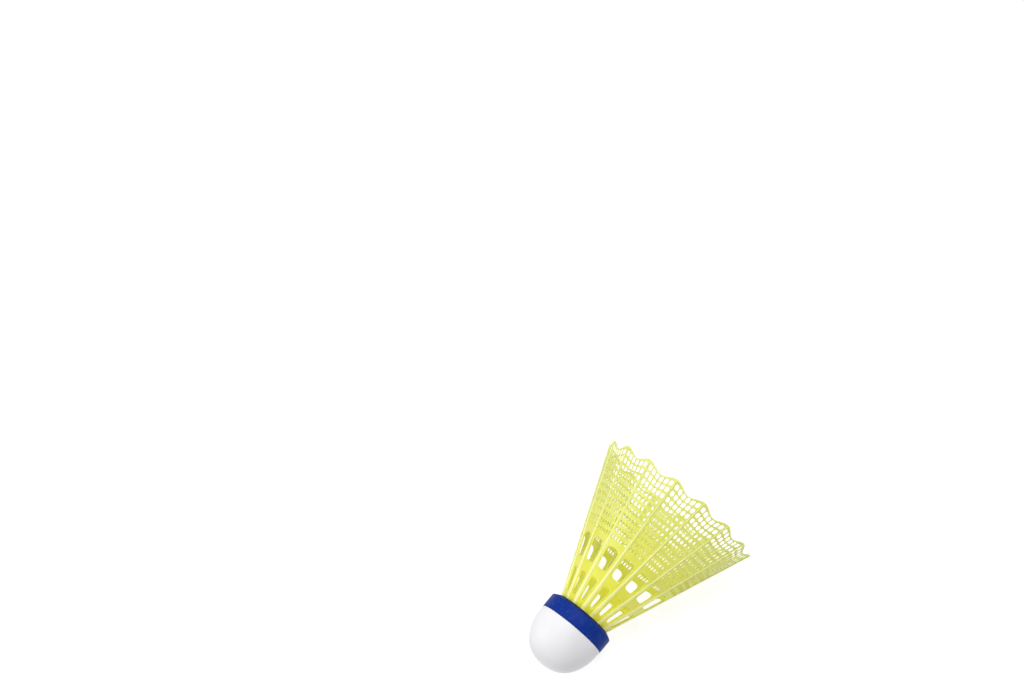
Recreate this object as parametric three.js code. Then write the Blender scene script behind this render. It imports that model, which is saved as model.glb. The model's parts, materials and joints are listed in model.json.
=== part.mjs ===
// Badminton shuttlecock with a moulded nylon skirt, lying on its side as it rests on a table.
//
// Each solid is first built about the shuttlecock's own axis. There, +Z runs from the base to the
// open rim, Z = 0 is the lower edge of the coloured band, and a "level" is a height on that axis.
// The group is then tilted until it rests on its dome and on two tips of the rim, and is set down
// with the middle of its bounding box over the origin. Lengths are in millimetres.

import * as THREE from "three";

// Base: a cork core, a white cover stretched over it, and a coloured band round its top edge.
const BASE_RADIUS = 13.25;
const DOME_HEIGHT = 16.4;
const DOME_FULLNESS = 2.3; // exponent of the dome's superellipse; 2 would be a plain ellipse
const COVER_THICKNESS = 0.5;
const BAND_THICKNESS = 0.35;
const BAND_SHOULDER_LEVEL = 5.7;
const BAND_SHOULDER_RADIUS = 13.0;
const BAND_LIP_LEVEL = 6.9;
const BAND_LIP_RADIUS = 11.05;
const BAND_LIP_THICKNESS = 0.45;
const CORK_TOP_LEVEL = 5.0;
const GLUE_GAP = 0.3; // space left for glue between neighbouring pieces

// Skirt moulding: a hollow plug glued into the cork, a flange and a collar on top of the cork,
// sixteen ribs and the sixteen thin panels between them.
const PLUG_RADIUS = 5.6;
const PLUG_BORE_RADIUS = 4.1;
const PLUG_BOTTOM_LEVEL = -4.7;
const PLUG_FLOOR_THICKNESS = 1.0;
const FLANGE_THICKNESS = 1.2;
const COLLAR_TOP_LEVEL = 8.7;
const COLLAR_WALL = 0.9;
const SKIRT_ROOT_RADIUS = 10.6; // outer radius of the cone where it leaves the band
const SKIRT_ROOT_LEVEL = 7.0;
const SKIRT_TAPER = 0.4104; // gain in radius for each millimetre of level
const RIM_LEVEL = 61.8;
const SCALLOP_DEPTH = 2.0;

const RIB_COUNT = 16;
const RIB_ROOT_WIDTH = 1.9;
const RIB_TIP_WIDTH = 0.45;
const RIB_ROOT_DEPTH = 1.3;
const RIB_TIP_DEPTH = 0.7;
const RIB_STEPS = 6;

const PANEL_INSET = 0.15; // how far the panels lie below the ribs' outer faces
const PANEL_THICKNESS = 0.3;
const PANEL_CELLS = 8;

// The panel is a grid of cells: a broad one along each side, and narrow ones between. Its rows are
// given by the level of each row's lower edge, by the share of the panel's width that the narrow
// cells take there, and by whether these are open, as a window. The last row ends at the rim.
const PANEL_ROWS = [
  { level: COLLAR_TOP_LEVEL + GLUE_GAP, share: 0.5, isWindow: false },
  { level: 9.5, share: 0.42, isWindow: true },
  { level: 10.4, share: 0.66, isWindow: true },
  { level: 16.8, share: 0.72, isWindow: true },
  { level: 17.7, share: 0.5, isWindow: false },
  { level: 22.0, share: 0.6, isWindow: true },
  { level: 22.9, share: 0.82, isWindow: true },
  { level: 28.8, share: 0.84, isWindow: true },
  { level: 30.1, share: 0.55, isWindow: false },
  { level: 40.0, share: 0.75, isWindow: false },
  { level: 50.0, share: 0.75, isWindow: false },
  { level: RIM_LEVEL, share: 0.75, isWindow: false },
];

const ROUND_SEGMENTS = 48;
const DOME_STEPS = 10;

const BAY_ANGLE = (2 * Math.PI) / RIB_COUNT;
const HALF_BAY = BAY_ANGLE / 2;
const SKIRT_START_LEVEL = COLLAR_TOP_LEVEL + GLUE_GAP;

const nylon = { color: 0xcfdc2a, roughness: 0.35, metalness: 0 };
const MATERIALS = {
  cork: new THREE.MeshStandardMaterial({ color: 0xc79a66, roughness: 0.9, metalness: 0 }),
  cover: new THREE.MeshStandardMaterial({ color: 0xf2f2f4, roughness: 0.5, metalness: 0 }),
  band: new THREE.MeshStandardMaterial({ color: 0x1b3596, roughness: 0.4, metalness: 0 }),
  collar: new THREE.MeshStandardMaterial(nylon),
  rib: new THREE.MeshStandardMaterial(nylon),
  panel: new THREE.MeshStandardMaterial(nylon),
};

const skirtRadius = (level) => SKIRT_ROOT_RADIUS + SKIRT_TAPER * (level - SKIRT_ROOT_LEVEL);

// Turns a closed profile of [radius, level] points, listed from the bottom up its outer side,
// into a solid of revolution.
function turned(profile) {
  const points = profile.map(([radius, level]) => new THREE.Vector2(radius, level));
  return new THREE.LatheGeometry(points, ROUND_SEGMENTS).rotateX(Math.PI / 2);
}

// The dome's outline, offset inwards, from its tip on the axis out to its full radius.
function domeOutline(inset) {
  const outline = [];
  for (let step = 0; step <= DOME_STEPS; step += 1) {
    const angle = (step / DOME_STEPS) * (Math.PI / 2);
    const radius = (BASE_RADIUS - inset) * Math.sin(angle) ** (2 / DOME_FULLNESS);
    const level = -(DOME_HEIGHT - inset) * Math.cos(angle) ** (2 / DOME_FULLNESS);
    outline.push([step === 0 ? 0 : radius, step === DOME_STEPS ? 0 : level]);
  }
  return outline;
}

// One side of the base below the band: the dome, a small step in, and the wall under the band.
function baseOutline(inset) {
  const wallRadius = BASE_RADIUS - BAND_THICKNESS - GLUE_GAP - inset;
  const dome = domeOutline(inset).slice(0, -1);
  const stepLevel = -GLUE_GAP - inset;
  return [...dome, [BASE_RADIUS - inset, stepLevel], [wallRadius, stepLevel], [wallRadius, CORK_TOP_LEVEL]];
}

function corkCore() {
  const boreRadius = PLUG_RADIUS + GLUE_GAP;
  const boreFloor = PLUG_BOTTOM_LEVEL - GLUE_GAP;
  const outside = baseOutline(COVER_THICKNESS + GLUE_GAP);
  return turned([...outside, [boreRadius, CORK_TOP_LEVEL], [boreRadius, boreFloor], [0, boreFloor]]);
}

function cover() {
  return turned([...baseOutline(0), ...baseOutline(COVER_THICKNESS).reverse()]);
}

function band() {
  const innerRadius = BASE_RADIUS - BAND_THICKNESS;
  return turned([
    [innerRadius, 0],
    [BASE_RADIUS, 0],
    [BASE_RADIUS, BAND_SHOULDER_LEVEL - BAND_THICKNESS],
    [BAND_SHOULDER_RADIUS, BAND_SHOULDER_LEVEL],
    [BAND_LIP_RADIUS, BAND_LIP_LEVEL],
    [BAND_LIP_RADIUS, BAND_LIP_LEVEL - BAND_LIP_THICKNESS],
    [innerRadius, BAND_SHOULDER_LEVEL - BAND_LIP_THICKNESS],
    [innerRadius, 0],
  ]);
}

function plugAndCollar() {
  const flangeBottom = CORK_TOP_LEVEL + GLUE_GAP;
  const flangeTop = flangeBottom + FLANGE_THICKNESS;
  return turned([
    [0, PLUG_BOTTOM_LEVEL],
    [PLUG_RADIUS, PLUG_BOTTOM_LEVEL],
    [PLUG_RADIUS, flangeBottom],
    [skirtRadius(flangeBottom), flangeBottom],
    [skirtRadius(COLLAR_TOP_LEVEL), COLLAR_TOP_LEVEL],
    [skirtRadius(COLLAR_TOP_LEVEL) - COLLAR_WALL, COLLAR_TOP_LEVEL],
    [skirtRadius(flangeTop) - COLLAR_WALL, flangeTop],
    [PLUG_BORE_RADIUS, flangeTop],
    [PLUG_BORE_RADIUS, PLUG_BOTTOM_LEVEL + PLUG_FLOOR_THICKNESS],
    [0, PLUG_BOTTOM_LEVEL + PLUG_FLOOR_THICKNESS],
  ]);
}

// A rib is wide and deep at the collar, and thins quickly to a slender bar.
function ribSize(level, rootSize, tipSize) {
  const toTip = (RIM_LEVEL - level) / (RIM_LEVEL - SKIRT_START_LEVEL);
  return tipSize + (rootSize - tipSize) * toTip ** 2;
}
const ribWidth = (level) => ribSize(level, RIB_ROOT_WIDTH, RIB_TIP_WIDTH);
const ribDepth = (level) => ribSize(level, RIB_ROOT_DEPTH, RIB_TIP_DEPTH);

// A bar along the cone's outer face at +X, cut square to the axis at both ends.
function rib() {
  const bar = new THREE.BoxGeometry(1, 1, 1, 1, 1, RIB_STEPS);
  const corners = bar.getAttribute("position");
  for (let corner = 0; corner < corners.count; corner += 1) {
    const share = corners.getZ(corner) + 0.5;
    const level = SKIRT_START_LEVEL + share * (RIM_LEVEL - SKIRT_START_LEVEL);
    const radius = skirtRadius(level) + (corners.getX(corner) - 0.5) * ribDepth(level);
    corners.setXYZ(corner, radius, corners.getY(corner) * ribWidth(level), level);
  }
  return bar;
}

// A panel is flat, and lies between two ribs, so it is nearer the axis than they are.
const panelDistance = (level) => (skirtRadius(level) - PANEL_INSET) * Math.cos(HALF_BAY);

// Half of the panel's width, up to the glue gap beside the rib.
function panelHalfWidth(level) {
  const toRibMiddle = panelDistance(level) * Math.tan(HALF_BAY);
  return toRibMiddle - (ribWidth(level) / 2 + GLUE_GAP) / Math.cos(HALF_BAY);
}

// Where the lines between cells cross the panel, from -1 at one side to 1 at the other.
function lineShares(middleShare) {
  const narrowCells = PANEL_CELLS - 2;
  const narrowLines = Array.from({ length: narrowCells + 1 }, (_, line) => (2 * line) / narrowCells - 1);
  return [-1, ...narrowLines.map((share) => share * middleShare), 1];
}

// The rim dips between the ribs in one smooth wave.
const scallopDip = (share) => (SCALLOP_DEPTH * (1 + Math.cos(Math.PI * share))) / 2;

// A thin solid made of four-sided cells. corners[row][line] is a corner on the outer face, and
// inwards leads from there to the inner face. Each open cell is a hole with four walls.
function cellSolid(corners, inwards, isOpen) {
  const rowCount = corners.length;
  const lineCount = corners[0].length;
  const outerFace = corners.flat();
  const innerFace = outerFace.map((corner) => corner.clone().add(inwards));
  const outer = (row, line) => row * lineCount + line;
  const inner = (row, line) => outerFace.length + outer(row, line);
  const triangles = [];
  const wall = (a, b, c, d) => triangles.push(a, b, c, a, c, d);
  const isSolid = (row, line) => {
    const inside = row >= 0 && row < rowCount - 1 && line >= 0 && line < lineCount - 1;
    return inside && !isOpen(row, line);
  };
  for (let row = 0; row < rowCount - 1; row += 1) {
    for (let line = 0; line < lineCount - 1; line += 1) {
      if (!isSolid(row, line)) continue;
      const [up, next] = [row + 1, line + 1];
      wall(outer(row, line), outer(row, next), outer(up, next), outer(up, line));
      wall(inner(row, line), inner(up, line), inner(up, next), inner(row, next));
      if (!isSolid(row - 1, line)) {
        wall(inner(row, line), inner(row, next), outer(row, next), outer(row, line));
      }
      if (!isSolid(up, line)) {
        wall(outer(up, line), outer(up, next), inner(up, next), inner(up, line));
      }
      if (!isSolid(row, line - 1)) {
        wall(outer(row, line), outer(up, line), inner(up, line), inner(row, line));
      }
      if (!isSolid(row, next)) {
        wall(inner(row, next), inner(up, next), outer(up, next), outer(row, next));
      }
    }
  }
  const geometry = new THREE.BufferGeometry().setFromPoints([...outerFace, ...innerFace]);
  return geometry.setIndex(triangles);
}

// The sheet between two ribs, facing +X.
function panel() {
  const corners = PANEL_ROWS.map(({ level, share }) =>
    lineShares(share).map((across) => {
      const dip = level === RIM_LEVEL ? scallopDip(across) : 0;
      return new THREE.Vector3(panelDistance(level - dip), across * panelHalfWidth(level), level - dip);
    }),
  );
  const slope = Math.atan(SKIRT_TAPER * Math.cos(HALF_BAY));
  const inwards = new THREE.Vector3(-Math.cos(slope), 0, Math.sin(slope)).multiplyScalar(PANEL_THICKNESS);
  const isNarrow = (cell) => cell > 0 && cell < PANEL_CELLS - 1;
  return cellSolid(corners, inwards, (row, cell) => PANEL_ROWS[row].isWindow && isNarrow(cell));
}

function piece(name, geometry, material, turn = 0) {
  const mesh = new THREE.Mesh(geometry, material);
  mesh.name = name;
  mesh.rotation.z = turn;
  return mesh;
}

// The axis rises from the base to the rim by this angle when the shuttlecock lies at rest. It is
// the flattest line that touches both the dome and the two rib tips on either side of the bottom.
function restingTilt() {
  const tipRadius = skirtRadius(RIM_LEVEL) * Math.cos(HALF_BAY);
  const tilts = domeOutline(0).map(([radius, level]) => Math.atan2(tipRadius - radius, RIM_LEVEL - level));
  return Math.min(...tilts);
}

const upright = new THREE.Group();
upright.add(piece("base_cork_core", corkCore(), MATERIALS.cork));
upright.add(piece("base_cover", cover(), MATERIALS.cover));
upright.add(piece("base_band", band(), MATERIALS.band));
upright.add(piece("skirt_plug_and_collar", plugAndCollar(), MATERIALS.collar));
for (let index = 0; index < RIB_COUNT; index += 1) {
  const number = String(index + 1).padStart(2, "0");
  const ribTurn = HALF_BAY + index * BAY_ANGLE;
  upright.add(piece(`skirt_rib_${number}`, rib(), MATERIALS.rib, ribTurn));
  upright.add(piece(`skirt_panel_${number}`, panel(), MATERIALS.panel, ribTurn + HALF_BAY));
}
upright.rotation.y = Math.PI / 2 - restingTilt();

const shuttlecock = new THREE.Group();
shuttlecock.add(upright);
shuttlecock.updateMatrixWorld(true);
const box = new THREE.Box3().setFromObject(shuttlecock, true);
const middle = box.getCenter(new THREE.Vector3());
upright.position.set(-middle.x, -middle.y, -box.min.z);

export default shuttlecock;
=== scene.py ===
"""Badminton shuttlecock with a moulded nylon skirt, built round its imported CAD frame.

Each piece is made about the shuttlecock's own axis, in millimetres. A place has a radius, an angle
round the axis and a level along it. The level is 0 at the lower edge of the blue band and grows
towards the open rim. The angle is 0 on the side that the shuttlecock lies on. The frame's
rim_rest mount says where the axis lies, and in_row() takes every place there, in metres.
"""

import json
import math

import bpy
import numpy as np
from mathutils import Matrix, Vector, noise


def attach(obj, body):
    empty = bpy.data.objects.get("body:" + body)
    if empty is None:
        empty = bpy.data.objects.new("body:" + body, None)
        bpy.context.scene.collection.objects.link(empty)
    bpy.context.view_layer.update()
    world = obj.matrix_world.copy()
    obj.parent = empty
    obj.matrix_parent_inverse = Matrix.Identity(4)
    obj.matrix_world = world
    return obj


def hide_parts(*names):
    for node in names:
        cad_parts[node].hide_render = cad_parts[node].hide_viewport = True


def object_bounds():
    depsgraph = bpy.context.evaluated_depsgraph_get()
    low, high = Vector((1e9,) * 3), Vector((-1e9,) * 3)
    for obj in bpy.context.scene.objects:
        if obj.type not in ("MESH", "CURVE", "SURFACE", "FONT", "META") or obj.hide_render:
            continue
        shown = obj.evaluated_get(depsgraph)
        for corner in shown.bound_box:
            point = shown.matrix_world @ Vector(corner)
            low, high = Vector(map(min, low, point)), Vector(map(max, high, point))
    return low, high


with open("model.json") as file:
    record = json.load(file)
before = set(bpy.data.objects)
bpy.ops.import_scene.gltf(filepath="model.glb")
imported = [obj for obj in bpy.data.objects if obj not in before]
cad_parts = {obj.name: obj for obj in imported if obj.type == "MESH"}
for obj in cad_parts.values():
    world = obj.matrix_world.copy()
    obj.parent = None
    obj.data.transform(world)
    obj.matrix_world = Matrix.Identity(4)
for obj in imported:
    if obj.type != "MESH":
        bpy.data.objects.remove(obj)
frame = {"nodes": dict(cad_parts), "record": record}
cad_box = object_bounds()

MM = 0.001
BODY = "root"

# Base: the driving dimensions of the cover and the band.
BASE_RADIUS = 13.25
DOME_HEIGHT = 16.4
DOME_FULLNESS = 2.3  # exponent of the dome's superellipse; 2 would be a plain ellipse
COVER_THICKNESS = 0.5
COVER_UNEVENNESS = 0.03
COVER_STEP_LEVEL = -0.02  # where the cover steps in under the band
COVER_STEP_PLAY = 0.1  # how much deeper than the band's thickness the cover lies under it
BAND_THICKNESS = 0.35
BAND_BOTTOM = 0.03
BAND_TOP = 5.7
BAND_LIP_RADIUS = 11.05
BAND_LIP_LEVEL = 6.9
BAND_PROUD = 0.06  # how far the tape stands out from the dome's full radius
BAND_OVERLAP_ANGLE = math.pi * 0.36  # where the tape's two ends overlap
BAND_OVERLAP_HALF = 2.2  # half the overlap's length round the base
BAND_OVERLAP_RISE = 0.13  # how far the upper end stands out
BAND_OVERLAP_RAMP = 0.12  # the length in which it drops back
CORK_TOP = 5.0
GLUE_GAP = 0.3

# Skirt: a plain cone, carried by ribs and closed by thin sheets between them.
PLUG_RADIUS = 5.6
PLUG_BORE_RADIUS = 4.1
PLUG_BOTTOM = -4.7
PLUG_FLOOR = 1.0
PLUG_LEAD_IN = 0.5  # how much the plug narrows at its bottom, to enter the cork's bore
PLUG_LEAD_IN_HEIGHT = 0.6
PLUG_BORE_DRAFT = 0.2
FLANGE_THICKNESS = 1.2
COLLAR_TOP = 8.9
COLLAR_WALL = 0.95
COLLAR_INSET = 0.2
SKIRT_ROOT_RADIUS = 10.6
SKIRT_ROOT_LEVEL = 7.0
SKIRT_TAPER = 0.4104
RIM_LEVEL = 61.8
SCALLOP_DEPTH = 2.0
RIB_COUNT = 16
RIB_ROOT_WIDTH = 1.9
RIB_TIP_WIDTH = 0.45
RIB_ROOT_DEPTH = 1.3
RIB_TIP_DEPTH = 0.7
RIB_BOTTOM = 6.3
RIB_FLARE = 0.15  # share by which a rib widens where it meets the collar
RIB_FLARE_TOP = 9.6
RIB_FLARE_HEIGHT = 2.5
RIB_TIP_ROUNDING = 0.6
SHEET_INSET = 0.2  # the sheets lie this far inside the ribs' outer faces, but almost flush at the collar
SHEET_LEAST_INSET = 0.1  # share of the inset that is left there
SHEET_FLUSH_LEVEL = 7.8
SHEET_FLUSH_HEIGHT = 3
SHEET_THICKNESS = 0.36
SHEET_THICKENING = 0.1  # what a sheet gains towards the collar, below SHEET_THIN_LEVEL
SHEET_THIN_LEVEL = 30
SHEET_THICKENING_HEIGHT = 20
SHEET_ROUNDNESS = 0.35  # 0 is a flat sheet between two ribs, 1 a sheet that follows the cone
SHEET_END = 0.3  # a sheet ends this share of a rib's half width short of the rib's middle
BEAD_RADIUS = 0.26
BEAD_DROP = 0.15  # from the rim to the bead's middle
CREASE = 0.36  # how sharp the corners of the windows and of the net's holes stay

# The two windows of a sheet, as its rows from the collar up to the net: the row's level, the windows' width
# there as a share of the bay, whether the sheet is open above the row, and how far the row bends along the
# axis to round a window's corners.
WINDOW_ROWS = (
    (6.7, 0.3, False, 0),
    (8.3, 0.3, False, 0),
    (9.5, 0.3, True, -0.3),
    (10.4, 0.39, True, 0),
    (13.6, 0.44, True, 0),
    (16.8, 0.47, True, 0),
    (17.7, 0.42, False, 0.35),
    (19.8, 0.5, False, 0),
    (22.0, 0.56, True, -0.4),
    (22.9, 0.63, True, 0),
    (25.9, 0.65, True, 0),
    (28.8, 0.66, True, 0),
    (30.1, 0.58, False, 0.7),
    (31.3, 0.6, False, 0),
)

# The net above the windows. Its holes grow from the first row to the last.
NET_CELLS = 6
NET_ROWS = 11
NET_FIRST_ROW = 33.3  # level of the middle of the first row of holes
NET_ROW_PITCH = 2.645
NET_MARGIN = 0.12  # between a rib and the net's nearest cell
HOLE_HALF_HEIGHT = 0.6
HOLE_HALF_HEIGHT_GAIN = 0.32
HOLE_SHARE = 0.5  # a hole's width as a share of its cell's
HOLE_SHARE_GAIN = 0.25
RIM_HOLE_SHARE = 0.66  # for spacing the lines along the rim, where there are no holes
NET_DIP = 0.9  # the last rows follow more and more of the scallops' dip, towards this share of it
NET_DIP_ROWS = 5
NET_DIP_POWER = 1.5

HALF_BAY = math.pi / RIB_COUNT
BAY = 2 * HALF_BAY
SLOPE = math.atan(SKIRT_TAPER)


def skirt_radius(level):
    return SKIRT_ROOT_RADIUS + SKIRT_TAPER * (level - SKIRT_ROOT_LEVEL)


def rib_size(level, root_size, tip_size):
    """A rib is wide and deep at the collar, and thins quickly to a slender bar."""
    to_tip = np.clip((RIM_LEVEL - level) / (RIM_LEVEL - COLLAR_TOP), 0, 1.05)
    return tip_size + (root_size - tip_size) * to_tip**2


def rib_width(level):
    return rib_size(level, RIB_ROOT_WIDTH, RIB_TIP_WIDTH)


def rib_depth(level):
    return rib_size(level, RIB_ROOT_DEPTH, RIB_TIP_DEPTH)


# ---------------------------------------------------------------- places and meshes

rim_rest = next(m for m in frame["record"]["mounts"] if m["name"] == "rim_rest")
AXIS = Vector(rim_rest["axis"]).normalized()
DOWN = Vector((AXIS.z, 0, -AXIS.x))
ACROSS = AXIS.cross(DOWN)
TO_ROW = np.array([DOWN, ACROSS, AXIS])


def about_axis(radius, angle, level):
    """Places about the axis as an array of [x, y, z] in millimetres, before they go to the row's frame."""
    radius, angle, level = np.broadcast_arrays(radius, angle, level)
    return np.stack([radius * np.cos(angle), radius * np.sin(angle), level], axis=-1)


# The mount lies in the middle of the end of the first rib.
mount_radius = skirt_radius(RIM_LEVEL) - RIB_TIP_DEPTH / 2
mount_place = about_axis(mount_radius, HALF_BAY, RIM_LEVEL) * MM
ORIGIN = np.array(rim_rest["pos_m"]) - mount_place @ TO_ROW


def in_row(places):
    """Takes places about the axis, in millimetres, to the row's frame, in metres."""
    return ORIGIN + np.asarray(places).reshape(-1, 3) * MM @ TO_ROW


def piece(name, places, faces, material, replaced=(), subdivisions=0, creases=()):
    """A mesh piece that rides on the body and stands for the CAD nodes in replaced. Subdividing keeps
    the edges in creases, given as pairs of corners, partly sharp."""
    mesh = bpy.data.meshes.new(name)
    mesh.from_pydata(in_row(places).tolist(), [], faces)
    if creases:
        kept = {frozenset(pair) for pair in creases}
        sharpness = [CREASE if frozenset(edge.vertices) in kept else 0.0 for edge in mesh.edges]
        attribute = mesh.attributes.new("crease_edge", "FLOAT", "EDGE")
        attribute.data.foreach_set("value", sharpness)
    mesh.polygons.foreach_set("use_smooth", [True] * len(mesh.polygons))
    mesh.materials.append(material)
    made = bpy.data.objects.new(name, mesh)
    bpy.context.scene.collection.objects.link(made)
    if subdivisions:
        smooth = made.modifiers.new("smooth", "SUBSURF")
        smooth.levels = subdivisions
        smooth.render_levels = subdivisions
    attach(made, BODY)
    if replaced:
        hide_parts(*replaced)
    return made


def softened(profile, reach, steps=3):
    """A closed profile with each corner off the axis rounded, from reach before it to reach after it. Each
    rounded corner has one point more than steps."""
    rounded = []
    count = len(profile)
    for index, corner in enumerate(profile):
        corner = np.array(corner, float)
        if corner[0] < 1e-6:
            rounded.append(corner)
            continue
        before = np.array(profile[index - 1], float) - corner
        after = np.array(profile[(index + 1) % count], float) - corner
        start = corner + before * min(reach / np.linalg.norm(before), 0.45)
        end = corner + after * min(reach / np.linalg.norm(after), 0.45)
        for step in range(steps + 1):
            t = step / steps
            rounded.append((1 - t) ** 2 * start + 2 * t * (1 - t) * corner + t**2 * end)
    return rounded


def turned(profile, segments, shift=None):
    """Places and faces of a closed profile turned about the axis. A profile that starts and ends on
    the axis gets a single point at each end. shift(places, ring, angles) may move the places."""
    profile = np.array(profile, float)
    on_axis = profile[0][0] < 1e-6
    ring = profile[1:-1] if on_axis else profile
    angles = np.arange(segments) * 2 * math.pi / segments
    places = about_axis(ring[:, None, 0], angles[None, :], ring[:, None, 1])
    if shift:
        places = shift(places, ring, angles)
    places = places.reshape(-1, 3)
    faces = []
    rings = len(ring)
    pairs = rings - 1 if on_axis else rings
    for low in range(pairs):
        high = (low + 1) % rings
        for segment in range(segments):
            after = (segment + 1) % segments
            faces.append(
                (
                    low * segments + segment,
                    low * segments + after,
                    high * segments + after,
                    high * segments + segment,
                )
            )
    if on_axis:
        bottom, top = len(places), len(places) + 1
        ends = [(0, 0, profile[0][1]), (0, 0, profile[-1][1])]
        places = np.concatenate([places, ends])
        last = (rings - 1) * segments
        for segment in range(segments):
            after = (segment + 1) % segments
            faces.append((bottom, after, segment))
            faces.append((top, last + segment, last + after))
    return places, faces


def swept(centres, sides, outs, half_widths, half_depths, section, closed):
    """Places and faces of a bar whose section, a list of (across, out) numbers within 1, is carried along
    centres. An open bar gets flat ends."""
    section = np.array(section)
    across = section[None, :, 0, None] * half_widths[:, None, None] * sides[:, None, :]
    out = section[None, :, 1, None] * half_depths[:, None, None] * outs[:, None, :]
    places = (centres[:, None, :] + across + out).reshape(-1, 3)
    count, around = len(centres), len(section)
    faces = []
    for ring in range(count if closed else count - 1):
        following = (ring + 1) % count
        for corner in range(around):
            after = (corner + 1) % around
            faces.append(
                (
                    ring * around + corner,
                    ring * around + after,
                    following * around + after,
                    following * around + corner,
                )
            )
    if not closed:
        faces.append(tuple(reversed(range(around))))
        faces.append(tuple((count - 1) * around + corner for corner in range(around)))
    return places, faces


# ---------------------------------------------------------------- materials

PAINTED_GLOW_COLOUR = (0.6, 0.62, 0.12)  # painted glow: an even light that the nylon gives off whatever lights it, lifting its shade in place of its fluorescence
NYLON_FADE = (8.0, 50.0)  # levels between which the nylon goes from its collar colours to its rim colours
BAND_LIP_PAINTED_SHADE = (5.75, 6.2)  # levels between which painted shade darkens the band towards its folded lip, where it turns in towards the skirt


def new_material(name):
    material = bpy.data.materials.new(name)
    material.use_nodes = True
    material.node_tree.nodes.clear()
    return material, material.node_tree


def add(tree, kind, inputs=None, **settings):
    """A new node with its settings and its inputs' values. An input that is another node's output is
    linked."""
    node = tree.nodes.new(kind)
    for setting, value in settings.items():
        setattr(node, setting, value)
    for socket, value in (inputs or {}).items():
        if isinstance(value, bpy.types.NodeSocket):
            tree.links.new(value, node.inputs[socket])
        else:
            node.inputs[socket].default_value = value
    return node


def object_place(tree):
    return add(tree, "ShaderNodeTexCoord").outputs["Object"]


def noise_value(tree, place, scale, detail=3.0, roughness=0.55):
    inputs = {"Vector": place, "Scale": scale, "Detail": detail, "Roughness": roughness}
    return add(tree, "ShaderNodeTexNoise", inputs).outputs["Fac"]


def between(tree, value, low, high, from_low=0.3, from_high=0.7):
    """value, stretched from from_low..from_high to low..high."""
    inputs = {"Value": value, "From Min": from_low, "From Max": from_high, "To Min": low, "To Max": high}
    return add(tree, "ShaderNodeMapRange", inputs).outputs["Result"]


def mixed_colour(tree, share, first, second):
    node = add(tree, "ShaderNodeMix", data_type="RGBA")
    colours = [socket for socket in node.inputs if socket.type == "RGBA"]
    for socket, value in zip(colours, (first, second)):
        if isinstance(value, bpy.types.NodeSocket):
            tree.links.new(value, socket)
        else:
            socket.default_value = (*value, 1)
    tree.links.new(share, node.inputs["Factor"])
    return next(socket for socket in node.outputs if socket.type == "RGBA")


def bumped(tree, height, strength, distance_mm, after=None):
    inputs = {"Height": height, "Strength": strength, "Distance": distance_mm * MM}
    if after:
        inputs["Normal"] = after
    return add(tree, "ShaderNodeBump", inputs).outputs["Normal"]


def level_share(tree, place, low, high):
    """How far along the axis a place is, from 0 at level low to 1 at level high."""
    start = Vector(ORIGIN) + AXIS * low * MM
    along = AXIS / ((high - low) * MM)
    from_start = add(tree, "ShaderNodeVectorMath", {0: place, 1: start}, operation="SUBTRACT")
    share = add(
        tree, "ShaderNodeVectorMath", {0: from_start.outputs["Vector"], 1: along}, operation="DOT_PRODUCT"
    )
    return add(tree, "ShaderNodeClamp", {"Value": share.outputs["Value"]}).outputs["Result"]


def nylon(name, near_collar, near_rim, through, roughness, painted_glow, coat):
    """Translucent yellow-green nylon. near_collar and near_rim are pairs of colours that it clouds between
    there, through is the share of light that it lets through, and roughness is a range. painted_glow is the
    strength of a painted glow, an even emission that lifts its shaded parts in place of its fluorescence,
    and coat is the weight of the gloss on top."""
    material, tree = new_material(name)
    place = object_place(tree)
    along = level_share(tree, place, *NYLON_FADE)
    cloud = between(tree, noise_value(tree, place, 160.0), 0.0, 1.0)
    low = mixed_colour(tree, cloud, *near_collar)
    high = mixed_colour(tree, cloud, *near_rim)
    colour = mixed_colour(tree, along, low, high)
    grain = noise_value(tree, place, 2600.0, detail=2.0)
    flow = noise_value(tree, place, 420.0, detail=2.0)
    normal = bumped(tree, grain, 0.2, 0.03, bumped(tree, flow, 0.2, 0.12))
    inputs = {
        "Base Color": colour,
        "Roughness": between(tree, flow, *roughness),
        "IOR": 1.53,
        "Normal": normal,
        # Painted glow: an even emission that lifts the shaded nylon, standing in for its fluorescence.
        "Emission Color": (*PAINTED_GLOW_COLOUR, 1),
        "Emission Strength": painted_glow,
        "Coat Weight": coat,
        "Coat Roughness": 0.26,
        "Coat IOR": 1.65,
    }
    front = add(tree, "ShaderNodeBsdfPrincipled", inputs).outputs["BSDF"]
    back = add(tree, "ShaderNodeBsdfTranslucent", {"Color": colour, "Normal": normal}).outputs["BSDF"]
    both = add(tree, "ShaderNodeMixShader", {0: through, 1: front, 2: back})
    add(tree, "ShaderNodeOutputMaterial", {"Surface": both.outputs["Shader"]})
    return material


def sheet_nylon():
    """The thin sheets and the collar, which let much of the light through."""
    near_collar = ((0.84, 0.83, 0.04), (0.89, 0.87, 0.08))
    near_rim = ((0.75, 0.77, 0.23), (0.81, 0.82, 0.33))
    return nylon(
        "nylon_sheet", near_collar, near_rim, through=0.55, roughness=(0.32, 0.42), painted_glow=0.23, coat=1.0
    )


def bar_nylon_painted_highlight():
    """The ribs and the bead, in a paler, more solid copy of the nylon: partly their thicker nylon, partly a
    painted highlight for the sheen that their rounded faces catch.
    """
    # Painted highlight: paler colours than the sheets', partly the thicker nylon's own look, partly
    # standing for the sheen on the rounded bars.
    near_collar = ((0.89, 0.88, 0.38), (0.93, 0.92, 0.48))
    near_rim = ((0.79, 0.81, 0.34), (0.84, 0.85, 0.44))
    return nylon(
        "nylon_bar_painted_highlight", near_collar, near_rim, through=0.35, roughness=(0.25, 0.35), painted_glow=0.2, coat=0.5
    )


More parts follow.
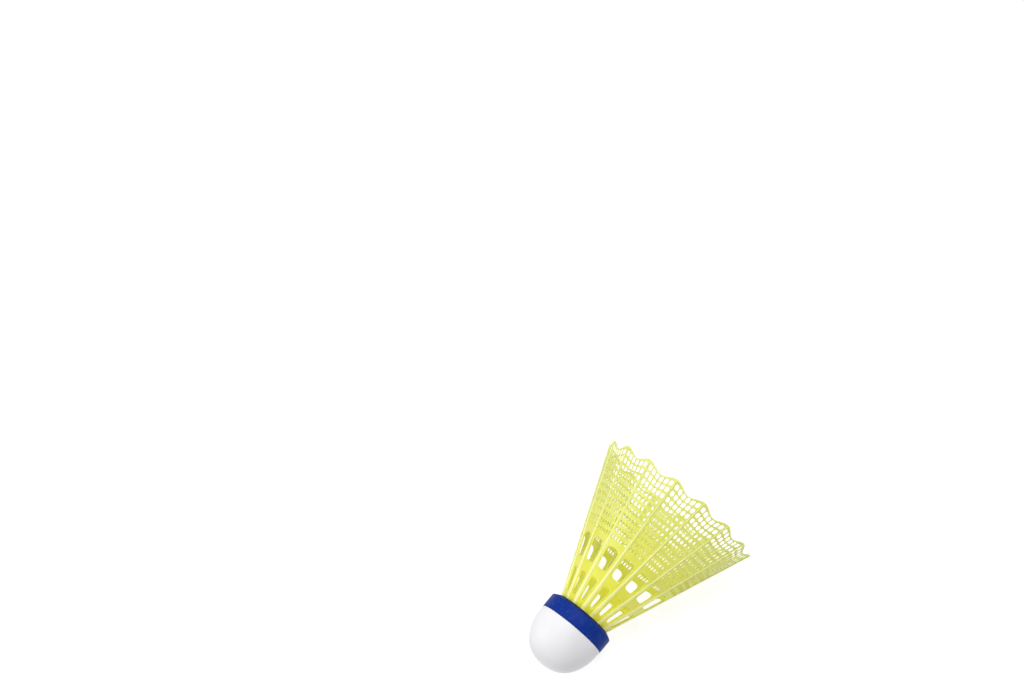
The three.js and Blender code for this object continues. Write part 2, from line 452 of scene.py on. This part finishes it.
def white_cover():
    """White coated skin with a fine pebbled grain and faint stains."""
    material, tree = new_material("white_cover")
    place = object_place(tree)
    cells = add(
        tree, "ShaderNodeTexVoronoi", {"Vector": place, "Scale": 1900.0, "Randomness": 1.0}, feature="F1"
    )
    pebbles = between(tree, cells.outputs["Distance"], 0.0, 1.0, 0.0, 0.8)
    swell = noise_value(tree, place, 300.0)
    normal = bumped(tree, pebbles, 0.16, 0.03, bumped(tree, swell, 0.25, 0.05))
    stain = between(tree, noise_value(tree, place, 90.0, detail=5.0), 0.0, 1.0, 0.35, 0.75)
    colour = mixed_colour(tree, stain, (0.745, 0.738, 0.76), (0.71, 0.703, 0.725))
    shader = add(
        tree,
        "ShaderNodeBsdfPrincipled",
        {
            "Base Color": colour,
            "Roughness": between(tree, swell, 0.42, 0.55),
            "Specular IOR Level": 0.3,
            "Normal": normal,
        },
    )
    add(tree, "ShaderNodeOutputMaterial", {"Surface": shader.outputs["BSDF"]})
    return material


def blue_band():
    """Deep blue coated tape with a fine woven grain, rubbed a little paler in places, with painted shade
    darkening its folded lip."""
    material, tree = new_material("blue_band")
    place = object_place(tree)
    weave = noise_value(tree, place, 3200.0, detail=1.0)
    swell = noise_value(tree, place, 260.0)
    normal = bumped(tree, weave, 0.2, 0.03, bumped(tree, swell, 0.2, 0.06))
    rub = between(tree, noise_value(tree, place, 700.0, detail=6.0, roughness=0.7), 0.0, 0.6, 0.5, 0.75)
    worn = mixed_colour(tree, rub, (0.006, 0.028, 0.22), (0.03, 0.08, 0.34))
    # Painted shade: the band darkens to deep navy on its folded lip, where it turns in towards the skirt.
    colour = mixed_colour(tree, level_share(tree, place, *BAND_LIP_PAINTED_SHADE), worn, (0.003, 0.01, 0.09))
    shader = add(
        tree,
        "ShaderNodeBsdfPrincipled",
        {
            "Base Color": colour,
            "Roughness": between(tree, swell, 0.4, 0.52),
            "Specular IOR Level": 0.05,
            "Normal": normal,
        },
    )
    add(tree, "ShaderNodeOutputMaterial", {"Surface": shader.outputs["BSDF"]})
    return material


def cork():
    """Agglomerated cork: packed granules of several browns with dark pores."""
    material, tree = new_material("cork")
    place = object_place(tree)
    granules = add(tree, "ShaderNodeTexVoronoi", {"Vector": place, "Scale": 620.0}, feature="F1")
    tone = add(tree, "ShaderNodeSeparateColor", {"Color": granules.outputs["Color"]}).outputs["Red"]
    base = mixed_colour(tree, tone, (0.42, 0.22, 0.09), (0.66, 0.42, 0.20))
    pores = noise_value(tree, place, 1500.0, detail=4.0)
    colour = mixed_colour(tree, between(tree, pores, 0.0, 1.0, 0.62, 0.72), base, (0.12, 0.06, 0.03))
    normal = bumped(tree, pores, 0.5, 0.1, bumped(tree, granules.outputs["Distance"], 0.4, 0.2))
    shader = add(
        tree, "ShaderNodeBsdfPrincipled", {"Base Color": colour, "Roughness": 0.85, "Normal": normal}
    )
    add(tree, "ShaderNodeOutputMaterial", {"Surface": shader.outputs["BSDF"]})
    return material


def pale_floor():
    material, tree = new_material("pale_floor")
    shader = add(
        tree,
        "ShaderNodeBsdfPrincipled",
        {
            "Base Color": (0.25, 0.25, 0.25, 1),
            "Roughness": 0.9,
            "Specular IOR Level": 0.0,
            "Emission Color": (1, 1, 1, 1),
            "Emission Strength": 0.86,
        },
    )
    add(tree, "ShaderNodeOutputMaterial", {"Surface": shader.outputs["BSDF"]})
    return material


# ---------------------------------------------------------------- base


def dome_outline(inset, steps):
    """The dome's outline, offset inwards, from its tip on the axis almost to its full radius."""
    outline = []
    for step in range(steps):
        angle = step / steps * math.pi / 2
        radius = (BASE_RADIUS - inset) * math.sin(angle) ** (2 / DOME_FULLNESS)
        level = -(DOME_HEIGHT - inset) * math.cos(angle) ** (2 / DOME_FULLNESS)
        outline.append((radius, level))
    return outline


def cover_piece(material):
    """The skin over the dome, which steps in under the band, and its inner face."""
    wall = BASE_RADIUS - BAND_THICKNESS - COVER_STEP_PLAY
    below_step = (BASE_RADIUS, -1.2)
    step = [(BASE_RADIUS, COVER_STEP_LEVEL), (wall, COVER_STEP_LEVEL)]
    # Only the step's two corners are kept. The others say where it comes from and goes to.
    edge = softened([below_step, *step, (wall, CORK_TOP)], reach=0.08)[4:-4]
    inner_wall = wall - COVER_THICKNESS
    inner_dome = reversed(dome_outline(COVER_THICKNESS, steps=24))
    inside = [(inner_wall, CORK_TOP), (inner_wall, -1.0), *inner_dome]
    profile = [*dome_outline(0, steps=44), *edge, *inside]

    def uneven(places, ring, angles):
        """The cork shows through the skin as a slight unevenness."""
        flat = places.reshape(-1, 3)
        swell = np.array([noise.noise(Vector(place) * 0.22) for place in flat])
        outwards = flat / np.maximum(np.linalg.norm(flat, axis=1), 1)[:, None]
        below_band = np.clip(-flat[:, 2] - 0.5, 0, 1)
        return (flat + outwards * (swell * below_band * COVER_UNEVENNESS)[:, None]).reshape(places.shape)

    places, faces = turned(profile, segments=160, shift=uneven)
    return piece("cover_skin", places, faces, material, ["base_cover"])


def band_piece(material):
    """The tape round the base, folded in over the cork's edge. Its ends overlap by a few millimetres."""
    inner = BASE_RADIUS - BAND_THICKNESS + 0.05
    outer = BASE_RADIUS + BAND_PROUD
    # Up the outer face, which bulges slightly, in over the cork's edge to the lip, and back underneath.
    profile = softened(
        [
            (inner, BAND_BOTTOM),
            (outer, BAND_BOTTOM),
            (outer + 0.03, BAND_TOP / 2),
            (outer - 0.02, BAND_TOP - 0.15),
            (BASE_RADIUS - 0.3, BAND_TOP + 0.2),
            (BAND_LIP_RADIUS, BAND_LIP_LEVEL),
            (BAND_LIP_RADIUS, BAND_LIP_LEVEL - 0.4),
            (inner - 0.2, BAND_TOP - 0.4),
        ],
        reach=0.1,
    )
    overlap_half = BAND_OVERLAP_HALF / BASE_RADIUS
    ramp = BAND_OVERLAP_RAMP / BASE_RADIUS

    def overlapped(places, ring, angles):
        """One end of the tape lies over the other, so the band is thicker there."""
        off = np.abs((angles - BAND_OVERLAP_ANGLE + math.pi) % (2 * math.pi) - math.pi)
        raised = np.clip((overlap_half - off) / ramp, 0, 1) * BAND_OVERLAP_RISE
        outer_side = (ring[:, 0] > inner + 0.05) & (ring[:, 1] < BAND_TOP)
        moved = places.copy()
        grow = 1 + raised[None, :] * outer_side[:, None] / BASE_RADIUS
        moved[..., 0] *= grow
        moved[..., 1] *= grow
        return moved

    places, faces = turned(profile, segments=240, shift=overlapped)
    return piece("blue_band", places, faces, material, ["base_band"])


def plug_and_collar_piece(material):
    """The hollow plug in the cork, the flange on top of it, and the collar that the ribs spring from."""
    flange_bottom = CORK_TOP + GLUE_GAP
    flange_top = flange_bottom + FLANGE_THICKNESS
    outer_top = skirt_radius(COLLAR_TOP) - COLLAR_INSET
    inner_top = skirt_radius(COLLAR_TOP) - COLLAR_WALL
    body = softened(
        [
            (PLUG_RADIUS - PLUG_LEAD_IN, PLUG_BOTTOM),
            (PLUG_RADIUS, PLUG_BOTTOM + PLUG_LEAD_IN_HEIGHT),
            (PLUG_RADIUS, flange_bottom),
            (skirt_radius(flange_bottom) - COLLAR_INSET, flange_bottom),
            (outer_top, COLLAR_TOP),
            (inner_top, COLLAR_TOP),
            (skirt_radius(flange_top) - COLLAR_WALL, flange_top),
            (PLUG_BORE_RADIUS, flange_top),
            (PLUG_BORE_RADIUS - PLUG_BORE_DRAFT, PLUG_BOTTOM + PLUG_FLOOR),
        ],
        reach=0.3,
    )
    profile = [(0, PLUG_BOTTOM), *body, (0, PLUG_BOTTOM + PLUG_FLOOR)]
    places, faces = turned(profile, segments=128)
    return piece("skirt_collar", places, faces, material, ["skirt_plug_and_collar"])


# ---------------------------------------------------------------- skirt


def rib_section(points=12, fullness=2.6):
    """A rounded oblong section, from -1 to 1 both ways."""
    section = []
    for index in range(points):
        angle = 2 * math.pi * (index + 0.5) / points
        across, out = math.cos(angle), math.sin(angle)
        size = (abs(across) ** fullness + abs(out) ** fullness) ** (-1 / fullness)
        section.append((across * size, out * size))
    return section


def rib_levels():
    """Levels of a rib's sections, closer together in its flare and at its tip than between them."""
    flared = np.linspace(RIB_BOTTOM, 12, 7)
    straight = np.linspace(14, RIM_LEVEL - 0.5, 26)
    tip = [RIM_LEVEL - 0.1, RIM_LEVEL + 0.12]
    return np.concatenate([flared, straight, tip])


def rib_piece(index, material):
    """A tapered rib, from inside the band's lip to its rounded tip on the rim."""
    angle = HALF_BAY + index * BAY
    levels = rib_levels()
    tip = np.clip((RIM_LEVEL + 0.2 - levels) / RIB_TIP_ROUNDING, 0.25, 1) ** 0.5
    flare = 1 + RIB_FLARE * np.clip((RIB_FLARE_TOP - levels) / RIB_FLARE_HEIGHT, 0, 1) ** 2
    half_widths = rib_width(levels) / 2 * flare * tip
    half_depths = rib_depth(levels) / 2 * tip
    centres = about_axis(skirt_radius(levels) - rib_depth(levels) / 2, angle, levels)
    side = np.array([-math.sin(angle), math.cos(angle), 0])
    out = np.array(
        [math.cos(angle) * math.cos(SLOPE), math.sin(angle) * math.cos(SLOPE), -math.sin(SLOPE)]
    )
    sides = np.repeat(side[None], len(levels), axis=0)
    outs = np.repeat(out[None], len(levels), axis=0)
    places, faces = swept(centres, sides, outs, half_widths, half_depths, rib_section(), closed=False)
    name = f"rib_{index + 1:02d}"
    return piece(name, places, faces, material, [f"skirt_rib_{index + 1:02d}"], subdivisions=1)


def sheet_radius(share, level):
    """Radius of the sheets' outer face. share runs from -1 at one rib to 1 at the next."""
    inset = SHEET_INSET * np.clip((level - SHEET_FLUSH_LEVEL) / SHEET_FLUSH_HEIGHT, SHEET_LEAST_INSET, 1)
    circle = skirt_radius(level) - inset
    chord = circle * math.cos(HALF_BAY) / np.cos(share * HALF_BAY)
    return chord + (circle - chord) * SHEET_ROUNDNESS


def scallop_dip(share):
    """The rim dips between the ribs in one smooth wave."""
    return SCALLOP_DEPTH * (1 + np.cos(math.pi * share)) / 2


# Every row of a sheet has the same number of lines across the bay, so its cells are four-sided.
LINES = 2 * NET_CELLS + 2
NET_HOLES = tuple(range(1, LINES - 1, 2))
WINDOW_LINES = (3, 10)
WINDOW_CELLS = tuple(range(*WINDOW_LINES))


def sheet_edge(level):
    """Share at which a sheet ends, inside the rib."""
    return 1 - SHEET_END * rib_width(level) / (2 * skirt_radius(level) * HALF_BAY)


def net_lines(level, hole_share):
    """Shares of the lines between the net's holes and bars."""
    edge = sheet_edge(level)
    free = 1 - (rib_width(level) / 2 + NET_MARGIN) / (skirt_radius(level) * HALF_BAY)
    pitch = 2 * free / NET_CELLS
    lines = [-edge]
    for cell in range(NET_CELLS):
        middle = (cell - (NET_CELLS - 1) / 2) * pitch
        lines += [middle - hole_share * pitch / 2, middle + hole_share * pitch / 2]
    return np.array([*lines, edge])


def window_lines(level, half_share):
    """Shares of the lines where a window, half_share wide each way, takes the middle ones."""
    edge = sheet_edge(level)
    first, last = WINDOW_LINES
    left = np.linspace(-edge, -half_share, first + 1)
    middle = np.linspace(-half_share, half_share, last - first + 1)
    right = np.linspace(half_share, edge, LINES - last)
    return np.concatenate([left, middle[1:-1], right])


def sheet_rows():
    """Rows of the sheet from the collar up. Each is (level, shares of its lines, cells that are open above
    it, how much of the scallop's dip it takes, how far a window's corner is rounded there)."""
    rows = []
    for level, half_share, is_open, rounding in WINDOW_ROWS:
        cells = WINDOW_CELLS if is_open else ()
        rows.append((level, window_lines(level, half_share), cells, 0, rounding))
    for row in range(NET_ROWS):
        share = row / (NET_ROWS - 1)
        middle = NET_FIRST_ROW + row * NET_ROW_PITCH
        half = HOLE_HALF_HEIGHT + HOLE_HALF_HEIGHT_GAIN * share
        hole = HOLE_SHARE + HOLE_SHARE_GAIN * share
        dip = NET_DIP * np.clip((row - NET_ROWS + NET_DIP_ROWS) / NET_DIP_ROWS, 0, 1) ** NET_DIP_POWER
        rows.append((middle - half, net_lines(middle - half, hole), NET_HOLES, dip, 0))
        rows.append((middle + half, net_lines(middle + half, hole), (), dip, 0))
    rows.append((RIM_LEVEL - 0.1, net_lines(RIM_LEVEL, RIM_HOLE_SHARE), (), 1, 0))
    return rows


def cell_solid(outer, inner, is_open):
    """Places and faces of a thin solid made of four-sided cells, from the corners of its two faces, and the
    edges through it at the holes' corners. Each open cell is a hole with walls."""
    rows, lines = outer.shape[:2]
    places = np.concatenate([outer.reshape(-1, 3), inner.reshape(-1, 3)])

    def at(face, row, line):
        return face * rows * lines + row * lines + line

    def solid(row, line):
        return 0 <= row < rows - 1 and 0 <= line < lines - 1 and not is_open(row, line)

    faces = []
    through = []
    for row in range(rows - 1):
        for line in range(lines - 1):
            if not solid(row, line):
                continue
            corners = [(row, line), (row, line + 1), (row + 1, line + 1), (row + 1, line)]
            neighbours = [(row - 1, line), (row, line + 1), (row + 1, line), (row, line - 1)]
            faces.append(tuple(at(0, *corner) for corner in corners))
            faces.append(tuple(at(1, *corner) for corner in reversed(corners)))
            for index, neighbour in enumerate(neighbours):
                if not solid(*neighbour):
                    start, end = corners[index], corners[(index + 1) % 4]
                    faces.append((at(1, *start), at(1, *end), at(0, *end), at(0, *start)))
                    through.append((at(0, *start), at(1, *start)))
    used = sorted({corner for face in faces for corner in face})
    renumbered = {old: new for new, old in enumerate(used)}
    faces = [tuple(renumbered[corner] for corner in face) for face in faces]
    through = [tuple(renumbered[corner] for corner in edge) for edge in through]
    return places[used], faces, through


def sheet_piece(index, material):
    """The sheet between two ribs, with its windows and net."""
    row_levels, shares, open_cells, dips, rounding = zip(*sheet_rows())
    row_levels, dips, rounding = (np.array(column)[:, None] for column in (row_levels, dips, rounding))
    shares = np.array(shares)
    window_half = np.abs(shares[:, WINDOW_LINES[0]])[:, None]
    in_window = np.clip(np.abs(shares) / window_half, 0, 1)
    levels = row_levels - dips * scallop_dip(shares) - rounding * in_window**3
    thickening = np.clip((SHEET_THIN_LEVEL - levels) / SHEET_THICKENING_HEIGHT, 0, 1)
    thickness = SHEET_THICKNESS + SHEET_THICKENING * thickening
    angle = HALF_BAY + index * BAY + HALF_BAY + shares * HALF_BAY
    radius = sheet_radius(shares, levels)
    outer = about_axis(radius, angle, levels)
    inner = about_axis(radius - thickness * math.cos(SLOPE), angle, levels + thickness * math.sin(SLOPE))
    places, faces, creases = cell_solid(outer, inner, lambda row, cell: cell in open_cells[row])
    name = f"net_{index + 1:02d}"
    replaced = [f"skirt_panel_{index + 1:02d}"]
    return piece(name, places, faces, material, replaced, subdivisions=2, creases=creases)


def rim_bead_piece(material):
    """The thin bead that edges the whole scalloped rim."""
    steps = 20 * RIB_COUNT
    angles = HALF_BAY + np.arange(steps) * 2 * math.pi / steps
    shares = (((angles - HALF_BAY) / BAY) % 1) * 2 - 1
    levels = RIM_LEVEL - BEAD_DROP - scallop_dip(shares)
    middle = SHEET_THICKNESS / 2
    radius = sheet_radius(shares, levels) - middle * math.cos(SLOPE)
    centres = about_axis(radius, angles, levels + middle * math.sin(SLOPE))
    outs = about_axis(math.cos(SLOPE), angles, np.full(steps, -math.sin(SLOPE)))
    along = np.roll(centres, -1, axis=0) - np.roll(centres, 1, axis=0)
    along /= np.linalg.norm(along, axis=1)[:, None]
    sides = np.cross(outs, along)
    size = np.full(steps, BEAD_RADIUS)
    round_section = rib_section(points=8, fullness=2.0)
    places, faces = swept(centres, sides, outs, size, size, round_section, closed=True)
    return piece("rim_bead", places, faces, material, subdivisions=1)


# ---------------------------------------------------------------- stage

CAMERA_AZIMUTH = math.radians(-48.4)
CAMERA_ELEVATION = math.radians(59.0)
CAMERA_DISTANCE = 1.5
CAMERA_LENS = 146.2
OFF_CENTRE_RIGHT = 0.0386  # how far right of the picture's middle the object lies, in metres
OFF_CENTRE_DOWN = 0.0784
LIGHT_DISTANCE = 0.9
FLOOR_HALF = 6.0


def camera_at(centre):
    """A long lens that looks down at the object, which lies low and to the right of the picture's middle.
    Returns which way the camera would face with the object in the middle."""
    flat = math.cos(CAMERA_ELEVATION)
    back = Vector(
        (
            math.sin(CAMERA_AZIMUTH) * flat,
            -math.cos(CAMERA_AZIMUTH) * flat,
            math.sin(CAMERA_ELEVATION),
        )
    )
    facing = (-back).to_track_quat("-Z", "Y")
    to_object = Vector((OFF_CENTRE_RIGHT, -OFF_CENTRE_DOWN, -CAMERA_DISTANCE)).normalized()
    aside = to_object.rotation_difference(Vector((0, 0, -1)))
    data = bpy.data.cameras.new("camera")
    data.lens = CAMERA_LENS
    data.sensor_width = 36
    data.clip_start = 0.05
    data.clip_end = 20
    camera = bpy.data.objects.new("camera", data)
    camera.rotation_mode = "QUATERNION"
    camera.rotation_quaternion = facing @ aside
    camera.location = centre + back * CAMERA_DISTANCE
    bpy.context.scene.collection.objects.link(camera)
    bpy.context.scene.camera = camera
    return facing


def area_light(name, centre, facing, direction, size, power):
    """A soft square light aimed at the object, in a direction given as right, up and back from the
    camera's view."""
    data = bpy.data.lights.new(name, "AREA")
    data.shape = "SQUARE"
    data.size = size
    data.energy = power
    light = bpy.data.objects.new(name, data)
    towards = (facing @ Vector(direction)).normalized()
    light.location = centre + towards * LIGHT_DISTANCE
    light.rotation_mode = "QUATERNION"
    light.rotation_quaternion = (-towards).to_track_quat("-Z", "Y")
    bpy.context.scene.collection.objects.link(light)


def studio(centre, facing, floor_level):
    """The pale floor, an even dim sky and two soft lights."""
    mesh = bpy.data.meshes.new("floor")
    corners = [(x * FLOOR_HALF, y * FLOOR_HALF, 0) for x, y in ((-1, -1), (1, -1), (1, 1), (-1, 1))]
    mesh.from_pydata(corners, [], [(0, 1, 2, 3)])
    mesh.materials.append(pale_floor())
    floor = bpy.data.objects.new("floor", mesh)
    floor.location = (0, 0, floor_level)
    bpy.context.scene.collection.objects.link(floor)

    world = bpy.data.worlds.new("studio")
    world.use_nodes = True
    sky = world.node_tree.nodes["Background"]
    sky.inputs["Color"].default_value = (1, 1, 1, 1)
    sky.inputs["Strength"].default_value = 0.2
    bpy.context.scene.world = world
    area_light("key_light", centre, facing, (0.03, 0.5, 0.87), size=0.5, power=8.1)
    area_light("side_light", centre, facing, (-0.92, 0.08, 0.38), size=0.4, power=3.0)
    bpy.context.scene.view_settings.view_transform = "Standard"


# ---------------------------------------------------------------- the shuttlecock

sheet_material = sheet_nylon()
bar_material_painted_highlight = bar_nylon_painted_highlight()
cover_piece(white_cover())
band_piece(blue_band())
plug_and_collar_piece(sheet_material)
for bay in range(RIB_COUNT):
    rib_piece(bay, bar_material_painted_highlight)
    sheet_piece(bay, sheet_material)
rim_bead_piece(bar_material_painted_highlight)

core = frame["nodes"]["base_cork_core"]
core.data.materials.clear()
core.data.materials.append(cork())

cad_middle = (cad_box[0] + cad_box[1]) / 2
view_facing = camera_at(cad_middle)
visual_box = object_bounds()
studio(cad_middle, view_facing, visual_box[0].z)
